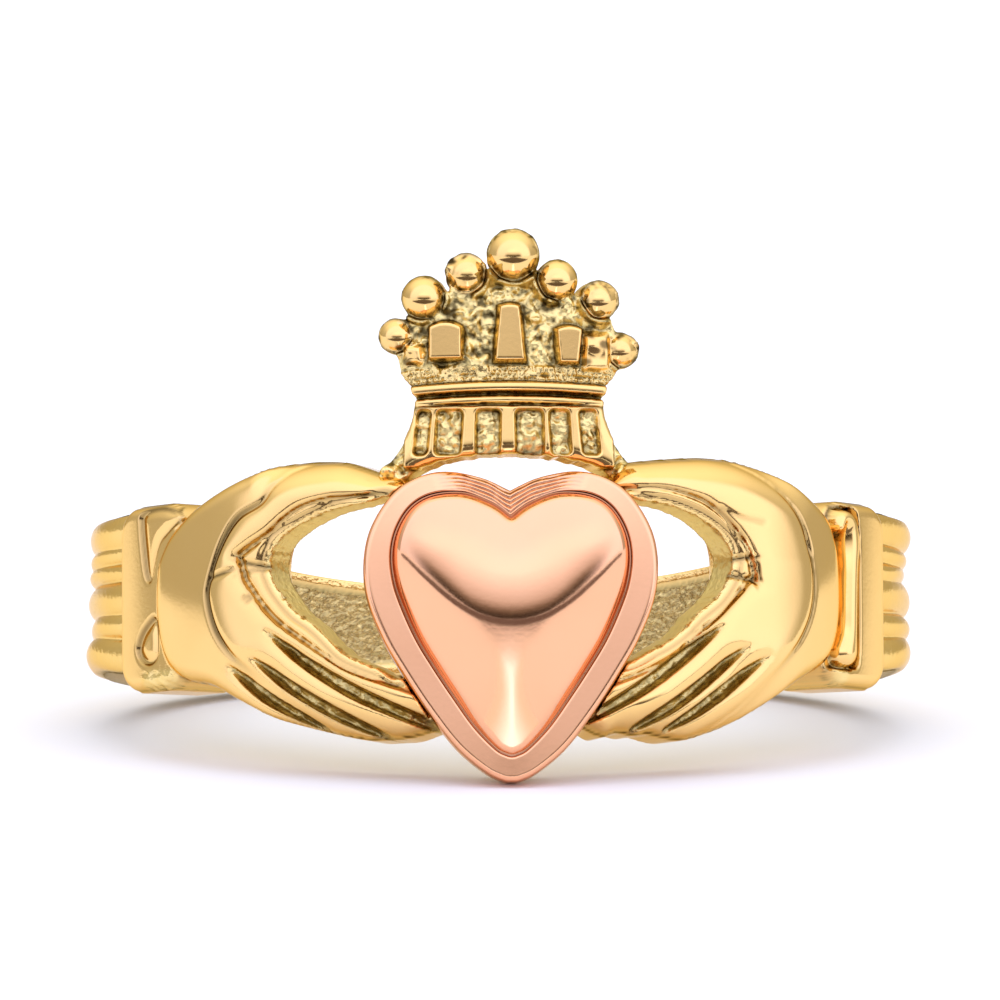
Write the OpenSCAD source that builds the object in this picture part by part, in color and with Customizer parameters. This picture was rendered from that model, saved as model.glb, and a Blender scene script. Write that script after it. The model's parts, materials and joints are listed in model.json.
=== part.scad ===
// Claddagh ring: two hands hold a puffed heart under a crown.
// The yellow gold casting is one solid. The rose gold heart sits on a flat seat in front of it.
// The ring lies on its side on the floor, on the heart's tip and the back of the shank.
// Millimetres, Z up, the heart faces -Y, and the origin is under the middle of the ring.

/* [Finger] */
// Inside radius of the band
finger_r = 8.65; // [7.5:0.05:11]

/* [Shank] */
// Width of the shank at the sides
shank_w = 3.96; // [3.4:0.02:4.6]
// Width of the shank at the back
back_w = 2.24; // [1.8:0.02:3]
// Thickness of the shank under its ridges
band_t = 1.02; // [0.8:0.02:1.4]
// Radius of each ridge around the shank
ridge_r = 0.52; // [0.4:0.02:0.6]

/* [Cuffs] */
// Height of a cuff across the band
cuff_h = 4.5; // [4:0.05:5.4]
// Length of a cuff along the band
cuff_l = 2.4; // [1.9:0.05:2.8]
// Radius of the collar at a cuff's outer end
collar_r = 0.6; // [0.5:0.02:0.7]
// Rise of a cuff over the bore
cuff_t = 1.95; // [1.7:0.05:2.4]
// Radius of the bead on a cuff
bead_r = 0.36; // [0.28:0.02:0.44]

/* [Hands] */
// Arc from the middle of the heart to a cuff
hand_l = 8.4; // [7.9:0.05:9.2]
// Height of a hand over its knuckles
hand_h = 6.9; // [6.2:0.05:7.6]
// Rise of the fingers over the bore
hand_t = 2.5; // [2.1:0.05:2.9]
// Share by which a finger is wider at its foot, so that neighbours join
flare = 0.26; // [0.15:0.01:0.4]
// How much higher the right hand sits than the left one
right_lift = 0.2; // [0:0.02:0.4]

/* [Heart] */
// Width of the heart
heart_w = 7; // [6.4:0.05:7.6]
// Height of the heart from its tip to its lobes
heart_h = 7.4; // [7:0.05:8]
// How far the middle of the heart lies under the middle of the band
heart_drop = 1.33; // [1.2:0.01:1.6]
// Height of the border around the heart
border_t = 1.02; // [0.8:0.02:1.3]
// Rise of the dome over the border
dome_t = 0.95; // [0.6:0.05:1.3]
// Rise of the heart's flat seat over the bore
seat_t = 1.55; // [1.4:0.05:1.8]
// How far the seat lies inside the heart, from its outline 0 to its dome 1
seat_in = 0.5; // [0.45:0.05:0.9]
// Clearance around the heart
heart_gap = 0.03; // [0.02:0.01:0.06]

/* [Crown] */
// Half of the crown's width at its foot
crown_half = 2.66; // [2.4:0.02:2.9]
// Height of the crown without its balls
crown_h = 4.9; // [4.5:0.05:5.5]
// Space between the heart's lobes and the crown
crown_gap = 0.35; // [0.25:0.01:0.5]
// Thickness of the crown's plate
crown_t = 0.95; // [0.8:0.05:1.2]
// Relief of the crown's band and towers
relief_t = 0.38; // [0.28:0.02:0.5]
// Radius of the top ball of the crown
ball_r = 0.6; // [0.5:0.02:0.7]
// Radius of the mouldings over the band
mould_r = 0.15; // [0.1:0.01:0.18]

/* [Hidden] */
gold = [0.93, 0.78, 0.49];
rose = [0.96, 0.74, 0.62];
$fn = 64;

// The face lies on a cylinder of this radius, and all arcs are measured on it.
face_r = finger_r + seat_t;
outer_r = finger_r + band_t + ridge_r;
heart_y = face_r + heart_gap;
tip_z = -heart_drop - heart_h / 2;
lobe_z = tip_z + heart_h;
crown_foot = lobe_z + crown_gap;
crown_back = seat_t - crown_t;
far = 4 * outer_r;

// The ring leans so that the heart's tip and the back of the shank are level.
lean = atan((-tip_z - back_w / 2) / (heart_y + outer_r));
floor_drop = heart_y * sin(lean) + tip_z * cos(lean);
front_y = -(heart_y + border_t + dome_t) * cos(lean) - heart_drop * sin(lean);
rear_y = outer_r * cos(lean) + back_w / 2 * sin(lean);

function ang(u) = u / face_r * 180 / PI;
function mix(a, b, t) = a + (b - a) * t;
function curve(a, b, c, d, t) =
    (2 * b + (c - a) * t + (2 * a - 5 * b + 4 * c - d) * t * t + (3 * b - a - 3 * c + d) * t * t * t) / 2;
function row_at(rows, i) = rows[min(max(i, 0), len(rows) - 1)];
function smooth(rows, n) = concat(
    [for (i = [0:len(rows) - 2]) for (k = [0:n - 1])
        curve(row_at(rows, i - 1), rows[i], rows[i + 1], row_at(rows, i + 2), k / n)],
    [rows[len(rows) - 1]]);
function on_ring(u, v, w) = [(finger_r + w) * sin(ang(u)), -(finger_r + w) * cos(ang(u)), v];
function unit(a) = a / norm(a);

// Columns of each digit: arc from the heart as a share of hand_l, height as a share of hand_h,
// half width as a share of hand_h, rise as a share of hand_t.
palm_rows = [
    [1.03, -0.060, 0.285, 0.68],
    [0.93, -0.060, 0.305, 0.79],
    [0.84, -0.062, 0.300, 0.88],
    [0.77, -0.070, 0.225, 0.86],
    [0.72, -0.080, 0.120, 0.70]];
heel_rows = [
    [0.990, 0.060, 0.072, 0.58],
    [0.940, 0.116, 0.080, 0.78],
    [0.868, 0.190, 0.074, 0.83],
    [0.780, 0.254, 0.066, 0.85],
    [0.687, 0.298, 0.061, 0.85],
    [0.586, 0.323, 0.056, 0.83],
    [0.480, 0.326, 0.045, 0.77]];
thumb_rows = [
    [0.870, -0.090, 0.062, 0.60],
    [0.795, -0.036, 0.072, 0.97],
    [0.755, 0.066, 0.073, 1.00],
    [0.685, 0.159, 0.073, 1.00],
    [0.592, 0.239, 0.072, 0.98],
    [0.480, 0.286, 0.070, 0.95],
    [0.371, 0.300, 0.062, 0.90],
    [0.310, 0.298, 0.046, 0.78]];
index_rows = [
    [0.860, -0.045, 0.064, 0.60],
    [0.796, -0.085, 0.072, 0.93],
    [0.707, -0.143, 0.073, 1.00],
    [0.598, -0.225, 0.072, 1.00],
    [0.480, -0.336, 0.068, 0.97],
    [0.367, -0.423, 0.061, 0.92],
    [0.269, -0.474, 0.051, 0.85],
    [0.190, -0.493, 0.036, 0.75]];
middle_rows = [
    [0.880, -0.174, 0.058, 0.58],
    [0.813, -0.206, 0.061, 0.88],
    [0.698, -0.281, 0.061, 0.96],
    [0.574, -0.384, 0.059, 0.96],
    [0.440, -0.483, 0.055, 0.92],
    [0.313, -0.533, 0.049, 0.86],
    [0.204, -0.554, 0.041, 0.78],
    [0.131, -0.551, 0.029, 0.70]];
ring_rows = [
    [0.905, -0.246, 0.052, 0.56],
    [0.848, -0.272, 0.055, 0.83],
    [0.738, -0.362, 0.055, 0.90],
    [0.626, -0.446, 0.052, 0.90],
    [0.519, -0.507, 0.048, 0.86],
    [0.417, -0.548, 0.041, 0.79],
    [0.333, -0.558, 0.029, 0.70]];
little_rows = [
    [0.952, -0.304, 0.044, 0.55],
    [0.893, -0.328, 0.048, 0.78],
    [0.796, -0.401, 0.048, 0.82],
    [0.696, -0.464, 0.046, 0.82],
    [0.601, -0.507, 0.041, 0.78],
    [0.510, -0.533, 0.032, 0.70]];
digits = [palm_rows, heel_rows, thumb_rows, index_rows, middle_rows, ring_rows, little_rows];

// Columns of the right half of the heart: outline x and z, then dome edge x and z,
// x as a share of half of heart_w, z as a share of heart_h from the heart's middle.
heart_rows = [
    [0.000, 0.440, 0.000, 0.352],
    [0.170, 0.478, 0.115, 0.392],
    [0.375, 0.499, 0.315, 0.428],
    [0.570, 0.489, 0.530, 0.422],
    [0.745, 0.449, 0.680, 0.382],
    [0.875, 0.382, 0.778, 0.308],
    [0.970, 0.292, 0.812, 0.225],
    [1.000, 0.190, 0.790, 0.135],
    [0.970, 0.080, 0.725, 0.048],
    [0.870, -0.040, 0.630, -0.050],
    [0.750, -0.140, 0.515, -0.140],
    [0.575, -0.268, 0.390, -0.230],
    [0.372, -0.392, 0.250, -0.325],
    [0.180, -0.468, 0.110, -0.395],
    [0.060, -0.496, 0.035, -0.415],
    [0.000, -0.500, 0.000, -0.419]];

// Columns of the heart's rings: from outline 0 to dome edge 1, share of border_t.
border_rows = [
    [0.00, 0.00],
    [0.00, 0.45],
    [0.10, 0.60],
    [0.90, 1.00],
    [1.00, 0.98],
    [1.04, 0.88]];
// Columns of the dome's rings: size as a share of the dome edge, share of dome_t.
dome_rows = [
    [0.93, 0.16],
    [0.80, 0.44],
    [0.62, 0.69],
    [0.42, 0.87],
    [0.21, 0.97]];

// Columns of the crown's right edge, from its foot up:
// half width as a share of crown_half, height as a share of crown_h.
crown_rows = [
    [0.00, 0.020],
    [0.45, 0.000],
    [0.83, -0.050],
    [1.04, -0.100],
    [1.02, 0.020],
    [0.84, 0.230],
    [0.85, 0.370],
    [0.99, 0.430],
    [1.03, 0.600],
    [0.90, 0.760],
    [0.66, 0.820],
    [0.40, 0.900],
    [0.20, 0.970],
    [0.00, 1.000]];
// Columns of the windows in the crown's band: middle and half width as shares of crown_half.
window_rows = [
    [-0.760, 0.070],
    [-0.530, 0.115],
    [-0.180, 0.115],
    [0.180, 0.115],
    [0.480, 0.095],
    [0.735, 0.080]];
// Columns of the towers: middle and half width as shares of crown_half,
// foot and top as shares of crown_h, relief as a share of relief_t.
tower_rows = [
    [-0.860, 0.120, 0.430, 0.560, 0.70],
    [-0.565, 0.150, 0.455, 0.630, 1.00],
    [0.000, 0.140, 0.445, 0.705, 1.15],
    [0.530, 0.105, 0.440, 0.615, 1.00],
    [0.790, 0.150, 0.410, 0.600, 0.70]];
// Columns of the balls: arc as a share of crown_half, height as a share of crown_h,
// radius as a share of ball_r.
ball_rows = [
    [-1.020, 0.615, 0.62],
    [-0.775, 0.805, 0.80],
    [-0.376, 0.930, 0.72],
    [0.045, 1.015, 1.00],
    [0.447, 0.890, 0.70],
    [0.830, 0.800, 0.72],
    [1.000, 0.560, 0.60]];

// Puts a shape on the face: X along the band, Y up, Z outward from the bore.
module on_face(u, v, w) {
    rotate([0, 0, ang(u)])
        translate([0, -(finger_r + w), v])
            rotate([90, 0, 0])
                children();
}

// Part of a flat hoop around the finger.
module slab(u0, u1, v0, v1, w0, w1) {
    rotate([0, 0, ang(u0) - 90])
        rotate_extrude(angle = ang(u1 - u0))
            translate([finger_r + w0, v0])
                square([w1 - w0, v1 - v0]);
}

// Part of a round hoop around the finger.
module hoop(u0, u1, v, w, r) {
    rotate([0, 0, ang(u0) - 90])
        rotate_extrude(angle = ang(u1 - u0))
            translate([finger_r + w, v])
                circle(r);
}

// Round bar across the band with round ends.
module bar(u, v, w, r, length) {
    on_face(u, v, w) {
        rotate([90, 0, 0])
            cylinder(h = length - 2 * r, r = r, center = true);
        for (s = [-1, 1])
            translate([0, s * (length / 2 - r), 0])
                sphere(r);
    }
}

// Shank: a band with ridges that run together toward the back, on a flat lower and upper edge.
module shank() {
    ridge_z = shank_w / 2 - ridge_r;
    fall = atan((shank_w - back_w) / 2 / outer_r);
    difference() {
        union() {
            rotate([0, 0, ang(hand_l) - 90])
                rotate_extrude(angle = 360 - 2 * ang(hand_l))
                    translate([finger_r - band_t, -shank_w / 2])
                        square([2 * band_t, shank_w]);
            for (k = [-3:2:3])
                translate([0, 0, k / 3 * ridge_z])
                    rotate([-k / 3 * fall, 0, 0])
                        rotate([0, 0, ang(hand_l) - 90])
                            rotate_extrude(angle = 360 - 2 * ang(hand_l))
                                translate([finger_r + band_t, 0])
                                    circle(ridge_r);
        }
        for (s = [-1, 1])
            translate([0, outer_r, s * back_w / 2])
                rotate([-s * lean, 0, 0])
                    translate([-far / 2, -far / 2, s > 0 ? 0 : -far])
                        cube([far, far, far]);
    }
}

// Cuff: a plate across the band with an inner lip, a bead and an outer collar.
module cuff() {
    mid = -cuff_h / 18;
    slab(hand_l - 0.3, hand_l + cuff_l - collar_r, mid - 0.47 * cuff_h, mid + 0.47 * cuff_h, -band_t, cuff_t - bead_r);
    slab(hand_l - 0.1, hand_l + 0.2 * cuff_l, mid - 0.45 * cuff_h, mid + 0.45 * cuff_h, 0, 0.84 * cuff_t);
    bar(hand_l + 0.38 * cuff_l, mid, cuff_t - bead_r, bead_r, 0.96 * cuff_h);
    bar(hand_l + cuff_l - collar_r, mid, cuff_t - collar_r, collar_r, cuff_h);
    slab(hand_l + cuff_l - 2 * collar_r, hand_l + cuff_l, mid - cuff_h / 2 + collar_r, mid + cuff_h / 2 - collar_r,
        -band_t, cuff_t - collar_r);
}

// Digit: a round-topped finger that follows a table of rows.
module digit(rows) {
    arc_n = 7;
    path = smooth([for (r = rows) [r[0] * hand_l, r[1] * hand_h, r[2] * hand_h, r[3] * hand_t]], 2);
    n = len(path);
    m = arc_n + 2;
    points = [for (i = [0:n - 1])
        let (p = path[i],
            before = path[max(i - 1, 0)],
            after = path[min(i + 1, n - 1)],
            d = unit([after[0] - before[0], after[1] - before[1]]),
            side = [-d[1], d[0]])
        for (j = [0:m - 1])
            let (a = 180 * (j - 1) / (arc_n - 1),
                low = j == 0 || j == m - 1,
                reach = (low ? (j == 0 ? 1 : -1) : cos(a)) * (low ? 1 + flare : 1 + flare * (1 - sin(a))),
                rise = low ? -band_t / 2 : p[3] * (0.5 + 0.5 * sin(a)))
            on_ring(p[0] + side[0] * p[2] * reach, p[1] + side[1] * p[2] * reach, rise)];
    faces = concat(
        [for (i = [0:n - 2]) for (j = [0:m - 1])
            [i * m + j, (i + 1) * m + j, (i + 1) * m + (j + 1) % m, i * m + (j + 1) % m]],
        [[for (j = [0:m - 1]) j]],
        [[for (j = [m - 1:-1:0]) (n - 1) * m + j]]);
    polyhedron(points, faces, convexity = 6);
}

// Hand: palm, thumb and fingers side by side, brought to the height of hand_h.
module hand() {
    resize([0, 0, hand_h])
        for (rows = digits)
            digit(rows);
}

function heart_point(r, t) = [
    mix(r[0], r[2], t) * heart_w / 2,
    mix(r[1], r[3], t) * heart_h];
heart_half = smooth(heart_rows, 3);
heart_loop = concat(heart_half, [for (i = [len(heart_half) - 2:-1:1])
    [-heart_half[i][0], heart_half[i][1], -heart_half[i][2], heart_half[i][3]]]);

// Flat shape of the heart's outline.
module heart_outline() {
    translate([0, -heart_drop])
        polygon([for (r = heart_loop) heart_point(r, 0)]);
}

// Seat: a flat plate behind the heart, kept inside the heart's outline.
module seat() {
    difference() {
        rotate([90, 0, 0])
            linear_extrude(face_r)
                translate([0, -heart_drop])
                    polygon([for (r = heart_loop) heart_point(r, seat_in)]);
        translate([0, 0, -far / 2])
            cylinder(h = far, r = finger_r + seat_t / 4);
    }
}

// Crown: a curved plate with a windowed band, mouldings, towers and seven balls.
module crown() {
    edge = concat(
        [for (r = crown_rows) [r[0] * crown_half, crown_foot + r[1] * crown_h]],
        [for (i = [len(crown_rows) - 2:-1:1])
            [-crown_rows[i][0] * crown_half, crown_foot + crown_rows[i][1] * crown_h]]);
    band_top = crown_foot + 0.255 * crown_h;
    difference() {
        intersection() {
            rotate([90, 0, 0])
                linear_extrude(far)
                    polygon(edge);
            union() {
                slab(-hand_l, hand_l, crown_foot - crown_h, crown_foot + 2 * crown_h, crown_back, seat_t);
                slab(-hand_l, hand_l, crown_foot - crown_h, band_top, crown_back, seat_t + relief_t);
            }
        }
        for (r = window_rows)
            slab((r[0] - r[1]) * crown_half, (r[0] + r[1]) * crown_half,
                crown_foot + 0.05 * crown_h, band_top - 0.03 * crown_h, seat_t, far / 4);
    }
    for (r = [[0.295, 0.82, 0.9], [0.352, 0.86, 1.1], [0.408, 0.92, 0.6]])
        hoop(-r[1] * crown_half, r[1] * crown_half, crown_foot + r[0] * crown_h, seat_t, r[2] * mould_r);
    for (r = tower_rows)
        on_face(r[0] * crown_half, crown_foot + r[2] * crown_h, crown_back + crown_t / 2)
            linear_extrude(crown_t / 2 + r[4] * relief_t)
                tower(r[1] * crown_half, (r[3] - r[2]) * crown_h);
    for (r = ball_rows)
        on_face(r[0] * crown_half, crown_foot + r[1] * crown_h, seat_t - crown_t / 3)
            sphere(r[2] * ball_r);
    for (s = [-1, 1])
        bar(s * 1.05 * crown_half, crown_foot - crown_t / 2, seat_t - crown_t / 4, crown_t / 2, 1.3 * crown_t);
}

// Flat shape of a tower: upright with a round top.
module tower(half, high) {
    translate([-half, 0])
        square([2 * half, high - half / 2]);
    intersection() {
        translate([0, high - 1.25 * half])
            circle(1.25 * half);
        translate([-half, 0])
            square([2 * half, 2 * high]);
    }
}

// Stands the ring on the floor.
module at_rest() {
    translate([0, -(front_y + rear_y) / 2, -floor_drop])
        rotate([-lean, 0, 0])
            children();
}

// The yellow gold casting with the bore for the finger.
module ring_body() {
    color(gold)
        at_rest()
            difference() {
                union() {
                    shank();
                    cuff();
                    mirror([1, 0, 0])
                        cuff();
                    translate([0, 0, right_lift])
                        hand();
                    mirror([1, 0, 0])
                        hand();
                    seat();
                    crown();
                }
                translate([0, 0, -far / 2])
                    cylinder(h = far, r = finger_r, $fn = 180);
                translate([0, -face_r, 0])
                    rotate([90, 0, 0])
                        linear_extrude(far)
                            offset(delta = heart_gap)
                                heart_outline();
            }
}

// The rose gold heart: a sloping border around a puffed dome.
module heart() {
    m = len(heart_loop);
    rings = concat(
        [for (b = border_rows)
            [for (r = heart_loop) concat(heart_point(r, b[0]), [b[1] * border_t])]],
        [for (d = dome_rows)
            [for (r = heart_loop)
                [heart_point(r, 1)[0] * d[0], heart_point(r, 1)[1] * d[0], border_t + d[1] * dome_t]]]);
    k = len(rings);
    points = concat([for (ring = rings) each ring], [[0, 0, 0], [0, 0, border_t + dome_t]]);
    faces = concat(
        [for (i = [0:k - 2]) for (j = [0:m - 1])
            [i * m + j, i * m + (j + 1) % m, (i + 1) * m + (j + 1) % m, (i + 1) * m + j]],
        [for (j = [0:m - 1]) [k * m, (j + 1) % m, j]],
        [for (j = [0:m - 1]) [k * m + 1, (k - 1) * m + j, (k - 1) * m + (j + 1) % m]]);
    color(rose)
        at_rest()
            translate([0, -heart_y, -heart_drop])
                rotate([90, 0, 0])
                    polyhedron(points, faces, convexity = 6);
}

ring_body();
heart();
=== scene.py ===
"""Dresses the claddagh ring: the yellow gold casting and the rose gold heart, on a pale studio floor.

The front of the casting is worked out as a relief around the finger. U runs along the band from
the middle of the heart, V up the finger and W outward from the bore, all in millimetres in the
ring's own frame, whose Z axis is the finger axis. The bore mount says how that frame lies.
"""

import json
import math

import bpy
import numpy as np
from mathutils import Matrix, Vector


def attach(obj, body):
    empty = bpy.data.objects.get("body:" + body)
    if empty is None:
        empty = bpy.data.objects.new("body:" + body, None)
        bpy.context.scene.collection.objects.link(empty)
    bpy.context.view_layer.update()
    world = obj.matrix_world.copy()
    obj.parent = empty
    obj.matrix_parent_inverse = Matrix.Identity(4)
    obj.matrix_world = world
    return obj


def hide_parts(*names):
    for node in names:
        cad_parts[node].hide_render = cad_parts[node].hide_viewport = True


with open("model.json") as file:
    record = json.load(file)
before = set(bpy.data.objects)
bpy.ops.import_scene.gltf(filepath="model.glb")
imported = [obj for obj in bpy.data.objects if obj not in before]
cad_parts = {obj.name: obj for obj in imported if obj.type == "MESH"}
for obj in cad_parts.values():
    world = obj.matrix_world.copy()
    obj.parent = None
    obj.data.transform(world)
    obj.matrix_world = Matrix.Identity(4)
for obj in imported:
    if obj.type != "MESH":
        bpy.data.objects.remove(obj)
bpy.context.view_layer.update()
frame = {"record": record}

# Sizes in millimetres, as the solids have them.
BORE = next(m for m in frame["record"]["mounts"] if m["kind"] == "bore")
FINGER_R = BORE["dims"]["r_mm"]
CENTRE = np.array(BORE["pos_m"]) * 1000
LEAN = math.atan2(BORE["axis"][1], BORE["axis"][2])
SEAT_T = 1.55
FACE_R = FINGER_R + SEAT_T
HEART_DROP = 1.33
HEART_GAP = 0.03
BORDER_T = 1.02
DOME_T = 0.95
BROW_SAG = 0.25
FLANK_SLOPE = 0.23
SHANK_W = 3.96
BACK_W = 2.24
BAND_T = 1.02
RIDGE_R = 0.52
OUTER_R = FINGER_R + BAND_T + RIDGE_R

# Grid steps.
COARSE = 1.0
HAND_STEP = 0.047 * COARSE
CROWN_STEP = 0.036 * COARSE
SEAT_STEP = 0.09 * COARSE


# Curves and profiles

def spline(points, steps=8, closed=False):
    """A smooth curve through points with any number of columns."""
    p = np.array(points, float)
    n = len(p)
    out = []
    for i in range(n if closed else n - 1):
        if closed:
            a, b, c, d = p[(i - 1) % n], p[i], p[(i + 1) % n], p[(i + 2) % n]
        else:
            a, b, c, d = p[max(i - 1, 0)], p[i], p[i + 1], p[min(i + 2, n - 1)]
        for k in range(steps):
            t = k / steps
            out.append((2 * b + (c - a) * t + (2 * a - 5 * b + 4 * c - d) * t ** 2
                        + (3 * b - a - 3 * c + d) * t ** 3) / 2)
    if not closed:
        out.append(p[-1])
    return np.array(out)


def arch(x, power=2):
    """A half round over -1 to 1, 1 in its middle; a higher power makes it squarer."""
    return np.sqrt(np.maximum(1 - x ** power, 0))


def rounded(depth, radius):
    """Quarter-round profile: 0 at an edge and 1 from radius inward."""
    return arch(1 - np.clip(depth / radius, 0, 1))


def bell(x, width):
    """1 where x is 0, falling away over about the width on both sides."""
    return np.exp(-((x / width) ** 2))


def ramp(x, lo, hi):
    """Smooth step from 0 at lo to 1 at hi."""
    t = np.clip((x - lo) / (hi - lo), 0, 1)
    return t * t * (3 - 2 * t)


def soft_max(a, b, k):
    """The larger of two fields, blended where they are closer than k."""
    h = np.maximum(k - np.abs(a - b), 0) / k
    return np.maximum(a, b) + h * h * k / 4


def soft_min(a, b, k):
    """The smaller of two fields, blended where they are closer than k."""
    return -soft_max(-a, -b, k)


class Sheet:
    """A patch of the face: a grid of arcs and heights, and the distances drawn on it."""

    def __init__(self, u0, u1, v0, v1, step, seed):
        self.us = np.arange(u0, u1, step)
        self.vs = np.arange(v0, v1, step)
        self.u, self.v = (a.astype(np.float32) for a in np.meshgrid(self.us, self.vs, indexing="ij"))
        self.step = step
        self.rng = np.random.default_rng(seed)

    def box(self, points, reach):
        """The part of the grid within reach of some points."""
        lo, hi = points[:, :2].min(0) - reach, points[:, :2].max(0) + reach
        return (slice(*np.searchsorted(self.us, [lo[0], hi[0]])),
                slice(*np.searchsorted(self.vs, [lo[1], hi[1]])))

    def along(self, points, reach=1.5):
        """Distance to a curve, and the curve's third column at the nearest point."""
        points = np.asarray(points, float)
        dist = np.full(self.u.shape, reach, np.float32)
        extra = np.zeros(self.u.shape, np.float32)
        box = self.box(points, reach)
        uu, vv = self.u[box], self.v[box]
        near, value = dist[box], extra[box]
        for a, b in zip(points[:-1], points[1:]):
            d = b[:2] - a[:2]
            t = np.clip(((uu - a[0]) * d[0] + (vv - a[1]) * d[1]) / max(float(d @ d), 1e-12), 0, 1)
            r = np.hypot(uu - a[0] - t * d[0], vv - a[1] - t * d[1])
            closer = r < near
            near[closer] = r[closer]
            if len(a) > 2:
                value[closer] = (a[2] + t * (b[2] - a[2]))[closer]
        return dist, extra

    def shape(self, points, reach=2.0):
        """Signed distance to a closed outline, negative inside."""
        points = np.asarray(points, float)
        ring = np.vstack([points, points[:1]])
        dist, _ = self.along(ring[:, :2], reach)
        inside = np.zeros(self.u.shape, bool)
        box = self.box(points, 0.1)
        uu, vv = self.u[box], self.v[box]
        for a, b in zip(ring[:-1], ring[1:]):
            if a[1] != b[1]:
                crosses = (a[1] > vv) != (b[1] > vv)
                inside[box] ^= crosses & (uu < a[0] + (vv - a[1]) * (b[0] - a[0]) / (b[1] - a[1]))
        return np.where(inside, -dist, dist)

    def slab(self, u0, v0, half_u, half_v, corner):
        """Signed distance to a rounded rectangle."""
        a = np.abs(self.u - u0) - half_u + corner
        b = np.abs(self.v - v0) - half_v + corner
        return np.hypot(np.maximum(a, 0), np.maximum(b, 0)) + np.minimum(np.maximum(a, b), 0) - corner

    def blur(self, field, sigma):
        """Gaussian blur, sigma in millimetres."""
        reach = int(3 * sigma / self.step) + 1
        kernel = np.exp(-0.5 * (np.arange(-reach, reach + 1) * self.step / sigma) ** 2)
        kernel = (kernel / kernel.sum()).astype(np.float32)
        for axis in (0, 1):
            pad = [(0, 0), (0, 0)]
            pad[axis] = (reach, reach)
            wide = np.pad(field, pad, mode="edge")
            size = field.shape[axis]
            cut = [slice(None), slice(None)]
            total = 0
            for i, k in enumerate(kernel):
                cut[axis] = slice(i, i + size)
                total = total + k * wide[tuple(cut)]
            field = total
        return field

    def pebbles(self, grain):
        """Pebbled cast surface between -1 and 1, with pebbles about grain millimetres across."""
        noise = self.blur(self.rng.standard_normal(self.u.shape).astype(np.float32), grain * 0.4)
        return np.clip(noise / (2 * noise.std()), -1, 1)


# The hands. U is the arc from the middle of the heart, on either side.

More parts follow.
